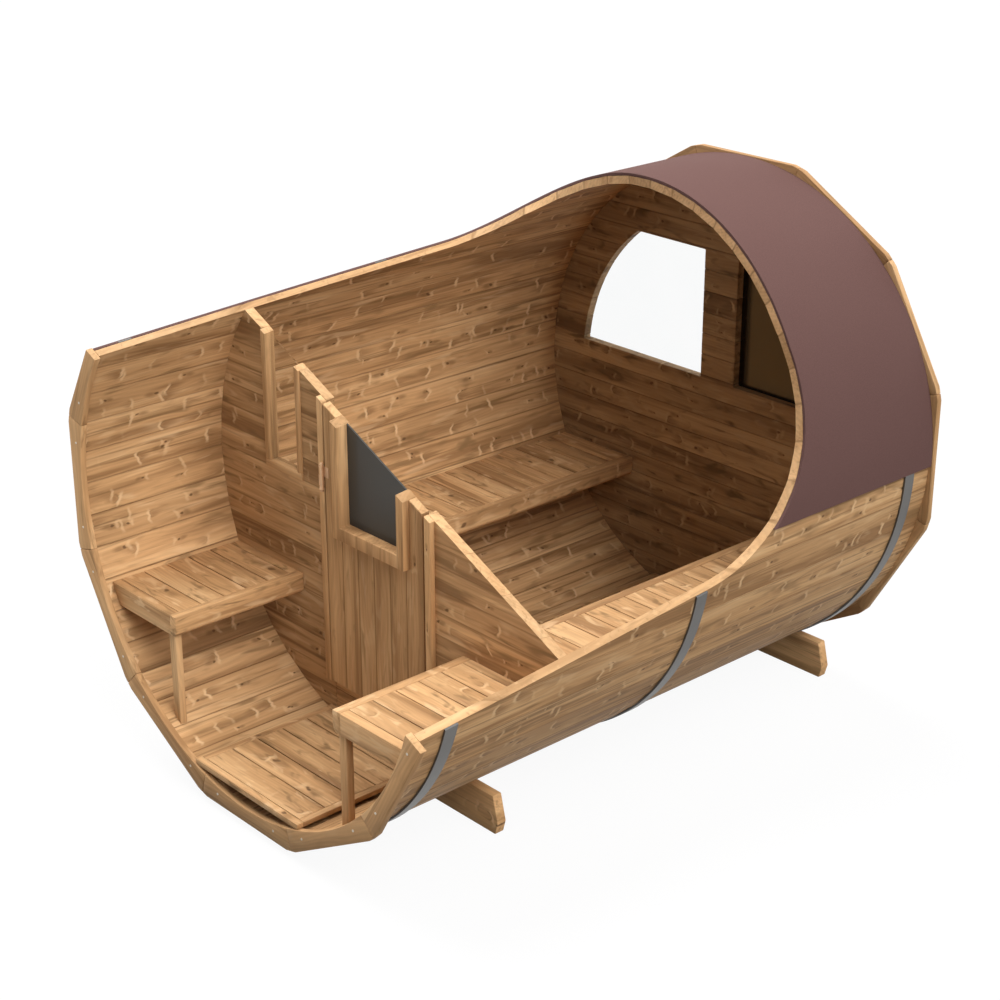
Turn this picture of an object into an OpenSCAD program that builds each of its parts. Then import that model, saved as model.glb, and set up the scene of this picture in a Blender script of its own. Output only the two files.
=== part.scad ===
// Barrel sauna with a front porch, shown as a cutaway: one sweeping cut takes the upper
// near side of the barrel away, so the porch, the partition, the door and the room show.
// X runs across, Y from the porch to the back, Z up. The ground is at Z = 0.

/* [Barrel] */
// Length over both end rings
overall_len = 2510; // [2200:10:3000]
// Diameter over the stave corners
barrel_od = 1950; // [1800:10:2100]
// Thickness of a stave
stave_t = 30; // [24:1:42]
// Staves in the full circle, six to each panel
stave_count = 48; // [40:8:64]
// Gap between two staves
stave_gap = 0.6; // [0.4:0.1:1.5]
// Chamfer along the edges of a stave
stave_chamfer = 1.6; // [0.5:0.1:3]
// Height of the lowest staves above the ground
barrel_clear = 39; // [30:1:100]

/* [End rings] */
// Planks in a ring
ring_sides = 12; // [10:2:16]
// Thickness of a ring plank along the barrel
ring_t = 25; // [18:1:40]
// How far the flat sides stand out beyond the stave corners
ring_overhang = 13; // [12:1:24]
// How far the ring reaches inside the staves
ring_lip = 12; // [4:1:25]
// How far the corner tips are rounded back
ring_tip_cut = 7; // [2:1:12]
// Open line at each mitre
mitre_gap = 0.8; // [0.4:0.1:2]

/* [Cutaway] */
// Height of the cut above the barrel's axis at mid length
cut_level = 264; // [150:1:400]
// Sideways fall of the cut, in degrees
cut_fall = 25.9; // [15:0.1:35]
// Turn of the cut about the vertical, in degrees
cut_turn = 8.8; // [0:0.1:15]
// Rise of the cut towards the back, in degrees
cut_rise = 1.8; // [0:0.1:5]
// Where the cut starts to sweep up, from mid length
sweep_start = 194; // [0:1:400]
// Radius of the upward sweep
sweep_r = 523; // [300:1:650]
// Backward lean of the cut above the sweep, in degrees
sweep_lean = 9.3; // [0:0.1:15]

/* [Bands and roof] */
// Width of a steel band
band_w = 52; // [30:1:70]
// Thickness of a steel band
band_t = 6.5; // [3:0.1:7]
// Distance of the outer bands from the barrel's ends
band_end = 148; // [80:1:300]
// Thickness of the roofing felt
felt_t = 10; // [8:0.1:11]
// Lower edge of the felt, measured from the barrel's axis
felt_low = -20; // [-200:1:200]
// Room between neighbouring layers and boards
layer_gap = 0.2; // [0.1:0.05:0.3]

/* [End walls] */
// Depth of the porch, from the barrel's front to the partition
porch_depth = 624; // [550:1:750]
// Thickness of the partition
partition_t = 36; // [28:1:45]
// Thickness of the back wall
back_wall_t = 40; // [28:1:45]
// Distance of the back wall's outer face from the barrel's back
back_recess = 97; // [70:1:140]
// Wood between the round side of a back window and the staves
back_window_edge = 180; // [120:1:260]
// Inner edge of each back window from the middle
back_window_in = 88; // [60:1:150]
// Sill of the back windows above the axis
back_window_low = 82; // [0:1:150]
// Head of the back windows below the highest inside of the barrel
back_window_drop = 332; // [250:1:450]
// Near edge of the partition window's frame from the middle
window_in = 428; // [400:1:480]
// Width of the partition window over its frame
window_w = 220; // [160:1:240]
// Bottom of the partition window's frame above the axis
window_low = 5; // [0:1:100]
// Width of the partition window's frame
window_frame_w = 26; // [20:1:40]
// How far the partition window's frame stands out into the porch
window_frame_out = 8; // [4:1:15]
// Depth of the partition window's pane behind the wall's face
window_reveal = 12; // [6:1:18]
// Thickness of the glass
glass_t = 6; // [4:1:8]
// Room around a pane
pane_gap = 0.2; // [0.1:0.05:0.3]

/* [Door] */
// Clear width of the doorway
doorway_w = 550; // [500:1:620]
// Threshold above the lowest inside of the barrel
threshold_rise = 195; // [140:1:260]
// Head of the door below the highest inside of the barrel
door_drop = 205; // [160:1:260]
// Thickness of the door leaf
leaf_t = 34; // [28:1:44]
// Gap at the hinge side and over the threshold
door_gap = 5; // [5:0.5:8]
// Wider gap at the closing side, for the swing
swing_gap = 8; // [7:0.5:12]
// Width of the casing boards beside the doorway
casing_w = 32; // [25:1:60]
// How far the casings stand out into the porch
casing_t = 22; // [15:1:30]
// Width of the frame round the door's window
light_frame_w = 38; // [25:1:50]
// Height of the frame's bottom rail
light_rail_h = 50; // [30:1:70]
// How far the frame stands out from the leaf
light_frame_out = 28; // [15:1:35]
// Clear width of the door's window
light_w = 320; // [240:1:360]
// Sill of the door's window below the axis
light_low = 83; // [0:1:150]
// Depth of the pane behind the frame's face
light_reveal = 48; // [35:1:50]

/* [Hinge] */
// Outer radius of the hinge knuckles
knuckle_r = 7; // [6:0.5:9]
// Radius of the hinge pin
pin_r = 3.5; // [3:0.1:4]
// Running room round the pin
pin_gap = 0.3; // [0.2:0.05:0.5]
// Height of the hinge between its finials
hinge_h = 80; // [70:1:100]
// Radius of the finials at the hinge's ends
finial_r = 9.5; // [9:0.5:11]
// Height of a finial
finial_h = 16; // [12:1:20]
// Thickness of the hinge plates
plate_t = 2; // [1.5:0.1:3]
// Width of a hinge plate on the wood
plate_w = 24; // [18:1:25]
// Middle of the hinge above the axis
hinge_rise = 72; // [40:1:120]

/* [Benches] */
// Seat above the floor
seat_h = 487; // [430:1:560]
// Inner edge of the benches from the middle
bench_in = 453; // [420:1:480]
// Height of the bench rails
rail_h = 80; // [60:1:95]
// Thickness of the bench rails
rail_t = 38; // [28:1:45]
// Rounding of the inner rail's lower edge
rail_round = 22; // [5:1:25]
// Thickness of the slats
slat_t = 28; // [20:1:35]
// Spacing of the slats, rounded to fill the bench
slat_pitch = 98; // [85:1:130]
// Gap between two slats
slat_gap = 4; // [3:0.5:12]
// Width of a porch bench leg across the porch
leg_w = 38; // [30:1:60]
// Thickness of a porch bench leg
leg_t = 28; // [22:1:30]
// Distance of a leg from the front of its bench
leg_back = 8; // [0:1:10]
// Gap between the porch benches and the front ring
bench_setback = 30; // [10:1:45]
// Width of the square bearers under the slats
bearer_w = 40; // [30:1:60]

/* [Floors] */
// Top of the floor above the lowest inside of the barrel
floor_rise = 83; // [70:1:120]
// Room between the floor's lower edges and the staves
floor_edge = 28; // [10:1:40]
// Thickness of the floor boards
floor_t = 22; // [16:1:24]
// Width of the floor's frame
floor_frame_w = 28; // [20:1:45]
// Spacing of the floor boards, rounded to fill the frame
floor_pitch = 108; // [80:1:130]
// Gap between two floor boards
floor_gap = 5; // [3:0.5:12]
// Gap between the porch floor and the barrel's front
floor_front = 5; // [3:1:30]
// Gap between the floors and the walls
floor_setback = 4; // [2:1:15]
// Width of a floor bearer
floor_bearer_w = 45; // [30:1:60]

/* [Cradles] */
// Thickness of a cradle plank
cradle_t = 40; // [30:1:60]
// Height of a cradle at its ends
cradle_h = 148; // [120:1:170]
// Length of a cradle at its widest
cradle_len = 1250; // [1100:10:1400]
// Height of the widest point above the ground
cradle_knee = 47; // [30:1:60]
// How far the upper end leans in
cradle_top_in = 25; // [5:1:60]
// How far the lower end leans in
cradle_foot_in = 13; // [5:1:40]

/* [Hidden] */
$fn = 96;
far = 4000;
stave_step = 360 / stave_count;
panel_staves = stave_count / 8;
stave_half = stave_step / 2;
outer_r = barrel_od / 2;
inner_r = outer_r - stave_t;
inner_flat = inner_r * cos(stave_half);
axis_h = outer_r + barrel_clear;
front_y = -overall_len / 2;
back_y = overall_len / 2;
stave_front = front_y + ring_t;
stave_len = overall_len - 2 * ring_t;
ring_flat = outer_r + ring_overhang;
ring_corner = ring_flat / cos(180 / ring_sides);
ring_in = inner_flat - ring_lip;
band_in = outer_r + layer_gap;
band_out = band_in + band_t;
felt_in = outer_r + layer_gap;
felt_out = felt_in + felt_t;
band_places = [front_y + band_end, 0, back_y - band_end];
partition_front = front_y + porch_depth;
partition_back = partition_front + partition_t;
back_wall_front = back_y - back_recess - back_wall_t;
back_window_r = inner_r - back_window_edge;
back_window_high = inner_r - back_window_drop;
threshold_low = inner_r - threshold_rise;
door_high = inner_r - door_drop;
half_door = doorway_w / 2;
leaf_front = partition_front - casing_t;
leaf_left = -half_door + door_gap;
leaf_right = half_door - swing_gap;
leaf_low = -threshold_low + door_gap;
light_front = leaf_front - light_frame_out;
light_depth = light_frame_out + leaf_t;
light_high = door_high - light_frame_w - light_rail_h;
hinge_x = -half_door;
hinge_reach = finial_r + 1;
hinge_y = leaf_front - hinge_reach;
porch_bench_y = stave_front + bench_setback;
porch_bench_len = partition_front - porch_bench_y;
room_len = back_wall_front - partition_back;
floor_top = floor_rise - inner_r;
floor_bottom = floor_top - floor_t;
floor_half = sqrt(pow(inner_flat, 2) - pow(floor_bottom, 2)) - floor_edge;
slat_top = floor_top + seat_h;
wood = [0.72, 0.53, 0.33];
dark_wood = [0.62, 0.43, 0.25];
steel = [0.45, 0.46, 0.48];
brass = [0.62, 0.47, 0.30];
felt_brown = [0.46, 0.34, 0.32];

// Moves a shape from the barrel's axis to its height above the ground
module on_axis() {
  translate([0, 0, axis_h]) children();
}

// Extrudes an outline in the XZ plane along the barrel
module along(y, len) {
  translate([0, y + len, 0]) rotate([90, 0, 0]) linear_extrude(len) children();
}

// A block given by its low corner and its size, with Z from the barrel's axis
module block(low, size) {
  translate(low) cube(size);
}

// Regular outline of stave corners at a radius
module stave_outline(r) {
  polygon([for (i = [0:stave_count - 1]) r * [cos(i * stave_step), sin(i * stave_step)]]);
}

// Section of what the cutaway removes: over a straight line, a sweep and a lean
module cut_section() {
  rotate(cut_rise) {
    translate([-far, cut_level]) square([far + sweep_start, far]);
    translate([sweep_start, cut_level + sweep_r]) {
      circle(sweep_r);
      polygon([[-far, 0], [sweep_r, 0], [sweep_r + far * tan(sweep_lean), far], [-far, far]]);
    }
  }
}

// Everything that the cutaway removes
module cutter() {
  rotate([0, 0, -cut_turn]) rotate([0, cut_fall, 0]) rotate([90, 0, 90])
    linear_extrude(far, center = true) cut_section();
}

// A piece of the barrel after the cut, at its height above the ground
module cut_piece() {
  on_axis() difference() {
    children();
    cutter();
  }
}

// Section of one stave, flat inside and outside, chamfered along its edges
module stave_section() {
  flat_out = outer_r * cos(stave_half);
  side = [
    [flat_out, -stave_chamfer], [flat_out - stave_chamfer, 0],
    [inner_flat + stave_chamfer, 0], [inner_flat, -stave_chamfer]
  ];
  upper = [for (p = side) [p[0], p[0] * tan(stave_half) - stave_gap / 2 + p[1]]];
  lower = [for (i = [3:-1:0]) [upper[i][0], -upper[i][1]]];
  polygon(concat(upper, lower));
}

// One eighth of the barrel wall, centred on a direction
module stave_panel(middle) {
  cut_piece() for (i = [0:panel_staves - 1])
    along(stave_front, stave_len)
      rotate(middle + (i - (panel_staves - 1) / 2) * stave_step) stave_section();
}

module staves_right() color(wood) stave_panel(0);
module staves_top_right() color(wood) stave_panel(45);
module staves_top() color(wood) stave_panel(90);
module staves_top_left() color(wood) stave_panel(135);
module staves_left() color(wood) stave_panel(180);
module staves_bottom_left() color(wood) stave_panel(225);
module staves_bottom() color(wood) stave_panel(270);
module staves_bottom_right() color(wood) stave_panel(315);

// Ring of mitred planks: straight outside with rounded tips, round inside
module ring_section() {
  step = 360 / ring_sides;
  difference() {
    intersection() {
      polygon([for (i = [0:ring_sides - 1])
        ring_corner * [cos((i + 0.5) * step), sin((i + 0.5) * step)]]);
      circle(ring_corner - ring_tip_cut);
    }
    circle(ring_in);
    for (i = [0:ring_sides - 1])
      rotate((i + 0.5) * step) translate([0, -mitre_gap / 2]) square([far, mitre_gap]);
  }
}

module front_ring() color(wood) cut_piece() along(front_y, ring_t) ring_section();
module back_ring() color(wood) cut_piece() along(back_y - ring_t, ring_t) ring_section();

// Round layer on the barrel between two radii
module layer_section(low_r, high_r) {
  difference() {
    circle(high_r);
    circle(low_r);
  }
}

module band(y) {
  color(steel) cut_piece() along(y - band_w / 2, band_w) layer_section(band_in, band_out);
}

module band_front() band(band_places[0]);
module band_middle() band(band_places[1]);
module band_back() band(band_places[2]);

// Roofing felt on the staves, grooved below for the bands it covers
module roof_felt() {
  color(felt_brown) cut_piece() difference() {
    along(stave_front, stave_len) intersection() {
      layer_section(felt_in, felt_out);
      translate([-far / 2, felt_low]) square([far, far]);
    }
    band_rooms();
  }
}

// Room for the three bands in what lies over or under them
module band_rooms() {
  for (place = band_places)
    along(place - band_w / 2 - layer_gap, band_w + 2 * layer_gap) circle(band_out + layer_gap);
}

// Plank cradle, hollowed to the barrel and let in where a band passes
module cradle(y) {
  knee = cradle_len / 2;
  top = knee - cradle_top_in;
  foot = knee - cradle_foot_in;
  color(dark_wood) on_axis() difference() {
    along(y, cradle_t) difference() {
      polygon([
        [-foot, -axis_h], [foot, -axis_h], [knee, cradle_knee - axis_h],
        [top, cradle_h - axis_h], [-top, cradle_h - axis_h], [-knee, cradle_knee - axis_h]
      ]);
      stave_outline(outer_r + layer_gap);
    }
    band_rooms();
  }
}

module cradle_front() cradle(partition_front);
module cradle_back() cradle(back_wall_front);

// Round end-wall outline that meets the staves
module wall_outline() {
  stave_outline(inner_r - layer_gap);
}

// Back window: straight inside, sill and head, round towards the barrel
module back_window(gap) {
  intersection() {
    circle(back_window_r - gap);
    translate([back_window_in + gap, back_window_low + gap])
      square([far, back_window_high - back_window_low - 2 * gap]);
  }
}

module back_wall() {
  color(dark_wood) on_axis() along(back_wall_front, back_wall_t) difference() {
    wall_outline();
    back_window(0);
    mirror([1, 0]) back_window(0);
  }
}

// Pane at the outer face of the back wall
module back_pane() {
  on_axis() along(back_wall_front + back_wall_t - glass_t, glass_t) back_window(pane_gap);
}

module back_pane_right() color([0.45, 0.38, 0.25, 0.6]) back_pane();
module back_pane_left() color([0.9, 0.95, 0.95, 0.4]) mirror([1, 0, 0]) back_pane();

// Window in the left half of the partition, open above its sill, less a margin all round
module side_window(margin) {
  translate([-window_in - window_w + margin, window_low + margin])
    square([window_w - 2 * margin, inner_r]);
}

// Right half of the partition beside the doorway
module partition_half() {
  intersection() {
    wall_outline();
    translate([half_door, -far / 2]) square([far, far]);
  }
}

module partition_right() {
  color(wood) cut_piece() along(partition_front, partition_t) partition_half();
}

module partition_left() {
  color(wood) cut_piece() along(partition_front, partition_t) difference() {
    mirror([1, 0]) partition_half();
    side_window(0);
  }
}

// Frame in the partition window, standing out a little into the porch
module window_frame() {
  color(wood) cut_piece() along(partition_front - window_frame_out, partition_t + window_frame_out)
    intersection() {
      wall_outline();
      difference() {
        side_window(pane_gap);
        side_window(window_frame_w);
      }
    }
}

module partition_pane() {
  color([0.85, 0.9, 0.88, 0.4]) cut_piece() along(partition_front + window_reveal, glass_t)
    intersection() {
      wall_outline();
      side_window(window_frame_w + pane_gap);
    }
}

module partition_sill() {
  color(wood) on_axis() along(partition_front, partition_t) intersection() {
    wall_outline();
    translate([-half_door, -far - threshold_low]) square([doorway_w, far]);
  }
}

// Casing board beside the doorway, on the porch side
module casing() {
  block([half_door, partition_front - casing_t, -threshold_low],
    [casing_w, casing_t, threshold_low + door_high]);
}

module casing_right() color(wood) cut_piece() casing();
module casing_left() color(wood) cut_piece() mirror([1, 0, 0]) casing();

// Outline of the frame round the door's window, less a margin
module light_outline(margin) {
  half = light_w / 2 + light_frame_w - margin;
  low = -light_low - light_rail_h + margin;
  translate([-half, low]) square([2 * half, light_high + light_frame_w - margin - low]);
}

// Clear window of the door, less a margin
module light_opening(margin) {
  half = light_w / 2 - margin;
  low = -light_low + margin;
  translate([-half, low]) square([2 * half, light_high - margin - low]);
}

module door_leaf() {
  color(dark_wood) cut_piece() along(leaf_front, leaf_t) difference() {
    translate([leaf_left, leaf_low]) square([leaf_right - leaf_left, door_high - leaf_low]);
    light_outline(0);
  }
}

module door_light_frame() {
  color(wood) cut_piece() along(light_front, light_depth) difference() {
    light_outline(pane_gap);
    light_opening(0);
  }
}

module door_pane() {
  color([0.28, 0.28, 0.27, 0.8]) cut_piece() along(light_front + light_reveal, glass_t)
    light_opening(pane_gap);
}

// Cranked plate from the pin back to the wood and along it to the right
module hinge_plate(z, h) {
  block([0, 0, z], [plate_t, hinge_reach, h]);
  block([0, hinge_reach - plate_t, z], [door_gap + plate_w, plate_t, h]);
}

// Turned end of the hinge: a bead, a neck and a tapered cap
module finial() {
  cylinder(r = finial_r, h = finial_h * 0.4);
  cylinder(r = knuckle_r * 0.8, h = finial_h * 0.6);
  translate([0, 0, finial_h * 0.55])
    cylinder(r1 = finial_r * 0.85, r2 = finial_r * 0.5, h = finial_h * 0.45);
}

module hinge_frame_side() {
  color(brass) on_axis() translate([hinge_x, hinge_y, hinge_rise - hinge_h / 2]) {
    cylinder(r = knuckle_r, h = hinge_h / 2);
    cylinder(r = pin_r, h = hinge_h);
    mirror([0, 0, 1]) finial();
    translate([0, 0, hinge_h]) finial();
    mirror([1, 0, 0]) hinge_plate(0, hinge_h / 2);
  }
}

module hinge_door_side() {
  play = pin_gap;
  color(brass) on_axis() translate([hinge_x, hinge_y, hinge_rise]) difference() {
    union() {
      translate([0, 0, play]) cylinder(r = knuckle_r, h = hinge_h / 2 - 2 * play);
      hinge_plate(play, hinge_h / 2 - 2 * play);
    }
    cylinder(r = pin_r + pin_gap, h = hinge_h);
  }
}

// Trims a piece of the fittings to the inside of the barrel
module inside_barrel(y, len) {
  intersection() {
    children();
    along(y, len) wall_outline();
  }
}

// Section of a bench's inner rail, round at its lower edge
module rail_section() {
  translate([bench_in, slat_top - rail_h]) intersection() {
    square([rail_t, rail_h]);
    union() {
      translate([rail_round, 0]) square([rail_t, rail_h]);
      translate([0, rail_round]) square([rail_t, rail_h]);
      translate([rail_round, rail_round]) circle(rail_round);
    }
  }
}

// Slatted seat on the right side: inner rail, two bearers, slats and any end rails
module bench(y, len, end_rails) {
  slat_in = bench_in + rail_t + layer_gap;
  first = y + end_rails * rail_t;
  room = len - 2 * end_rails * rail_t;
  count = round(room / slat_pitch);
  pitch = room / count;
  bearer_z = slat_top - slat_t - layer_gap - bearer_w;
  wall_x = sqrt(pow(inner_flat, 2) - pow(bearer_z, 2));
  along(y, len) rail_section();
  inside_barrel(y, len) {
    for (x = [slat_in, wall_x - bearer_w])
      block([x, first + layer_gap, bearer_z], [bearer_w, room - 2 * layer_gap, bearer_w]);
    for (i = [0:count - 1])
      block([slat_in, first + i * pitch + slat_gap / 2, slat_top - slat_t],
        [far, pitch - slat_gap, slat_t]);
    if (end_rails > 0) for (end = [y, y + len - rail_t])
      block([slat_in, end, slat_top - rail_h], [far, rail_t, rail_h]);
  }
}

module porch_bench_right() color(wood) on_axis() bench(porch_bench_y, porch_bench_len, 1);
module porch_bench_left() {
  color(wood) on_axis() mirror([1, 0, 0]) bench(porch_bench_y, porch_bench_len, 1);
}
module room_bench_right() color(wood) on_axis() bench(partition_back, room_len, 0);
module room_bench_left() {
  color(wood) on_axis() mirror([1, 0, 0]) bench(partition_back, room_len, 0);
}

// Leg near the front inner corner of a porch bench, down to the staves
module porch_leg() {
  inside_barrel(porch_bench_y, rail_t)
    block([bench_in + rail_round, porch_bench_y + leg_back, -inner_r],
      [leg_w, leg_t, inner_r + slat_top - rail_h]);
}

module porch_leg_right() color(wood) on_axis() porch_leg();
module porch_leg_left() color(wood) on_axis() mirror([1, 0, 0]) porch_leg();

// Top of a duckboard: boards across inside a frame
module deck(y, len) {
  board_in = floor_half - floor_frame_w;
  first = y + floor_frame_w;
  room = len - 2 * floor_frame_w;
  count = round(room / floor_pitch);
  pitch = room / count;
  for (end = [y, first + room])
    block([-floor_half, end, floor_bottom], [2 * floor_half, floor_frame_w, floor_t]);
  for (x = [-floor_half, board_in])
    block([x, first + layer_gap, floor_bottom], [floor_frame_w, room - 2 * layer_gap, floor_t]);
  for (i = [0:count - 1])
    block([layer_gap - board_in, first + i * pitch + floor_gap / 2, floor_bottom],
      [2 * (board_in - layer_gap), pitch - floor_gap, floor_t]);
}

// Two bearers under a duckboard that stand on the staves
module deck_bearers(y, len) {
  near = floor_half - 2 * floor_bearer_w;
  inside_barrel(y, len) for (x = [-near - floor_bearer_w, near])
    block([x, y, -inner_r], [floor_bearer_w, len, inner_r + floor_bottom - layer_gap]);
}

module porch_floor() {
  deck_y = front_y + floor_front;
  bearer_y = stave_front + floor_setback;
  back = partition_front - floor_setback;
  color(wood) on_axis() {
    intersection() {
      deck(deck_y, back - deck_y);
      along(front_y, porch_depth) circle(ring_in - layer_gap);
    }
    deck_bearers(bearer_y, back - bearer_y);
  }
}

module room_floor() {
  y = partition_back + floor_setback;
  len = room_len - 2 * floor_setback;
  color(wood) on_axis() {
    deck(y, len);
    deck_bearers(y, len);
  }
}

staves_right();
staves_top_right();
staves_top();
staves_top_left();
staves_left();
staves_bottom_left();
staves_bottom();
staves_bottom_right();
front_ring();
back_ring();
band_front();
band_middle();
band_back();
roof_felt();
cradle_front();
cradle_back();
back_wall();
back_pane_left();
back_pane_right();
partition_left();
partition_right();
partition_sill();
window_frame();
partition_pane();
casing_left();
casing_right();
door_leaf();
door_light_frame();
door_pane();
hinge_frame_side();
hinge_door_side();
porch_floor();
room_floor();
porch_bench_left();
porch_bench_right();
porch_leg_left();
porch_leg_right();
room_bench_left();
room_bench_right();
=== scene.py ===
import math
import random

import bpy
from mathutils import Matrix, Vector


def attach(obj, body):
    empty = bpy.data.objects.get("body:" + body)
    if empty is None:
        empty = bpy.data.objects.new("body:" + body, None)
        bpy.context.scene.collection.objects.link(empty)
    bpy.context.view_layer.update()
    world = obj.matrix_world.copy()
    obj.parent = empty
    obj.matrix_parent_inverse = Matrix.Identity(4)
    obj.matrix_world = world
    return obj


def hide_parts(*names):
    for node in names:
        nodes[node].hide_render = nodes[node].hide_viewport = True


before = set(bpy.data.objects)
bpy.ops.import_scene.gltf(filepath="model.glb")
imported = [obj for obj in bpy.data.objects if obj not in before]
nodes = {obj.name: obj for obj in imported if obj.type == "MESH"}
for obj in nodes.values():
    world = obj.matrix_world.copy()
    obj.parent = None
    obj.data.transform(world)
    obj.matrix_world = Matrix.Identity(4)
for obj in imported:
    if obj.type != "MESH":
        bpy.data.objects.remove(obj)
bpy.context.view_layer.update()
scene = bpy.context.scene
scene.view_settings.view_transform = "Standard"
axisHeight = 1.014  # the barrel's axis above the ground
print("frame loaded,", len(nodes), "nodes")


# camera

cameraSet = {"place": (5.159, -4.724, 3.834), "turn": 47.847, "tilt": 22.775,
             "lens": 73.52, "sensor": 36.0}

cameraTurn = (math.radians(90 - cameraSet["tilt"]), 0, math.radians(cameraSet["turn"]))
bpy.ops.object.camera_add(location=cameraSet["place"], rotation=cameraTurn)
camera = bpy.context.object
camera.data.sensor_width = cameraSet["sensor"]
camera.data.lens = cameraSet["lens"]
scene.camera = camera
print("camera set")


# node helpers

class NodeDesk:
    def __init__(self, tree):
        self.tree = tree
        self.tree.nodes.clear()

    def add(self, kind, **settings):
        node = self.tree.nodes.new(kind)
        for name, value in settings.items():
            setattr(node, name, value)
        return node

    def put(self, socket, value):
        if isinstance(value, bpy.types.NodeSocket):
            self.tree.links.new(value, socket)
        else:
            socket.default_value = value

    def math(self, operation, a, b=None, c=None):
        node = self.add("ShaderNodeMath", operation=operation)
        for socket, value in zip(node.inputs, (a, b, c)):
            if value is not None:
                self.put(socket, value)
        return node.outputs[0]

    def times(self, a, b):
        return self.math("MULTIPLY", a, b)

    def minus(self, a, b):
        return self.math("SUBTRACT", a, b)

    def centred(self, roll):
        return self.minus(roll, 0.5)

    def hypot(self, a, b):
        return self.math("SQRT", self.math("ADD", self.times(a, a), self.times(b, b)))

    def vector(self, operation, a, b):
        node = self.add("ShaderNodeVectorMath", operation=operation)
        self.put(node.inputs[0], a)
        self.put(node.inputs[1], b)
        return node.outputs["Vector"]

    def ramp(self, value, low, high):
        node = self.add("ShaderNodeMapRange", interpolation_type="SMOOTHSTEP")
        self.put(node.inputs["Value"], value)
        node.inputs["From Min"].default_value = low
        node.inputs["From Max"].default_value = high
        return node.outputs["Result"]

    def spread(self, value, low, high):
        node = self.add("ShaderNodeMapRange")
        self.put(node.inputs["Value"], value)
        node.inputs["To Min"].default_value = low
        node.inputs["To Max"].default_value = high
        return node.outputs["Result"]

    def noise(self, vector, scale, detail=3.0, rough=0.5, distortion=0.0):
        node = self.add("ShaderNodeTexNoise")
        self.put(node.inputs["Vector"], vector)
        node.inputs["Scale"].default_value = scale
        node.inputs["Detail"].default_value = detail
        node.inputs["Roughness"].default_value = rough
        node.inputs["Distortion"].default_value = distortion
        return node.outputs[0]

    def stretched(self, vector, stretch, detail, rough=0.5, distortion=0.0):
        return self.noise(self.vector("MULTIPLY", vector, stretch), 1.0, detail, rough, distortion)

    def mix(self, share, a, b, blend="MIX"):
        node = self.add("ShaderNodeMix", data_type="RGBA", blend_type=blend)
        self.put(node.inputs[0], share)
        self.put(node.inputs[6], a)
        self.put(node.inputs[7], b)
        return node.outputs[2]

    def bump(self, height, strength, depth):
        node = self.add("ShaderNodeBump")
        node.inputs["Strength"].default_value = strength
        node.inputs["Distance"].default_value = depth
        self.put(node.inputs["Height"], height)
        return node.outputs["Normal"]


def newMaterial(name):
    material = bpy.data.materials.new(name)
    material.use_nodes = True
    return material, NodeDesk(material.node_tree)


def finishMaterial(desk, shader):
    out = desk.add("ShaderNodeOutputMaterial")
    desk.tree.links.new(shader.outputs[0], out.inputs["Surface"])


def rgb(red, green, blue):
    return (red, green, blue, 1.0)


# wood

cellReroll = 13.7  # makes a third roll from the first


def boardCell(desk, along, cell, offset):
    # splits a board into lengths with dice of their own
    count = desk.math("ADD", desk.math("DIVIDE", along, cell), offset)
    dice = desk.add("ShaderNodeTexWhiteNoise", noise_dimensions="1D")
    desk.put(dice.inputs["W"], desk.math("ADD", desk.math("FLOOR", count), offset))
    rolls = desk.add("ShaderNodeSeparateColor")
    desk.put(rolls.inputs[0], dice.outputs["Color"])
    third = desk.math("FRACT", desk.times(rolls.outputs[0], cellReroll))
    middle = desk.times(desk.centred(desk.math("FRACT", count)), cell)
    return dice.outputs["Value"], (rolls.outputs[1], rolls.outputs[2], third), middle


# lengths in metres; half, tip and slant are a factor and an offset on a roll, other pairs are ramps
eyeShape = {"half": (0.060, 0.050), "tip": (0.009, 0.011), "slant": (0.9, -0.45),
            "otherEnd": 0.43, "reroll": 7.3, "luck": (0.0, 0.8),
            "ends": (0.55, 1.08), "under": (0.000, -0.012), "underReach": (0.0, 0.9), "underShare": 0.7,
            "lineWidth": (0.0075, 0.0), "inside": (0.003, -0.011), "insideReach": (-0.2, 1.0),
            "paleGap": 0.007, "paleBend": 6.0, "paleWidth": (0.0105, 0.001), "paleRise": 0.006,
            "paleReach": (0.95, 1.05)}


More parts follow.
